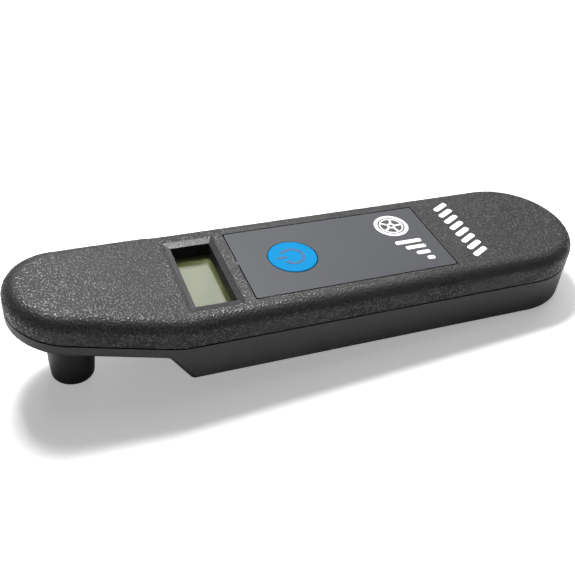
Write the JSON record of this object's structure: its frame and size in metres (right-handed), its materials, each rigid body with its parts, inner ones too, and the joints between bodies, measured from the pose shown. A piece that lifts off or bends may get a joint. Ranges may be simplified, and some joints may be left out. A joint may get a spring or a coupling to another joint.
{
  "type": "digital tire pressure gauge",
  "caption": "Palm-sized digital tyre gauge with a bent-up head, a hollow valve nozzle under it, a sunk display, one round blue key and a coin-cell cap.",
  "frame": {"origin": "centre of the bounding box at its bottom, level with the nozzle's mouth", "axes": "+X from the nose to the tail along the handle, +Z out of the face with the display and the key"},
  "size_m": [0.159, 0.039, 0.0307],
  "materials": {
    "shell_black": "fine spark-eroded texture, low sheen",
    "shell_satin": "smooth moulded, low sheen",
    "panel_grey": "smooth matt film",
    "key_blue": "smooth satin",
    "nozzle_black": "smooth satin",
    "window_clear": "polished, clear",
    "lcd_green": "glossy, blank display",
    "foil": "brushed reflector foil",
    "zebra_rubber": "matt silicone",
    "board_green": "solder mask over glass epoxy",
    "epoxy_black": "potting resin",
    "chip_ceramic": "sintered ceramic",
    "contact_steel": "nickel plated",
    "cell_steel": "nickel plated",
    "holder_nylon": "natural nylon",
    "switch_black": "moulded",
    "pin_brass": "turned",
    "seal_rubber": "soft nitrile",
    "sensor_white": "ceramic package",
    "flex_amber": "polyimide film",
    "screw_steel": "zinc plated",
    "print_white": "pad-printed ink",
    "legend_blue": "pad-printed ink"
  },
  "bodies": {
    "root": {"upper_shell": "shell_black", "lower_shell": "shell_satin", "control_panel": "panel_grey", "switch_body": "switch_black", "switch_dome": "contact_steel", "display_window": "window_clear", "lcd_cell": "lcd_green", "lcd_reflector": "foil", "zebra_strips": "zebra_rubber", "main_board": "board_green", "controller_cap": "epoxy_black", "timing_crystal": "contact_steel", "chip_components": "chip_ceramic", "coin_cell": "cell_steel", "cell_holder": "holder_nylon", "negative_contact": "contact_steel", "positive_contact": "contact_steel", "nozzle": "nozzle_black", "depressor_pin": "pin_brass", "valve_seal": "seal_rubber", "sensor_gasket": "seal_rubber", "pressure_sensor": "sensor_white", "sensor_board": "board_green", "sensor_flex": "flex_amber", "housing_front_screws": "screw_steel", "housing_rear_screws": "screw_steel", "board_screws": "screw_steel", "sensor_screws": "screw_steel"},
    "key": {"on_key": "key_blue", "switch_plunger": "switch_black"},
    "cap": {"battery_cap": "shell_satin"}
  },
  "joints": [
    {"name": "key_press", "type": "slide", "parent": "root", "child": "key", "axis": [0, 0, -1], "range_m": [0, 0.0005], "stiffness_N_per_m": 600, "springref_m": -0.0005},
    {"name": "cap_turn", "type": "hinge", "parent": "root", "child": "cap", "pos_m": [0.0175, 0, 0.0082], "axis": [0, 0, -1], "range_deg": [0, 45]}
  ]
}
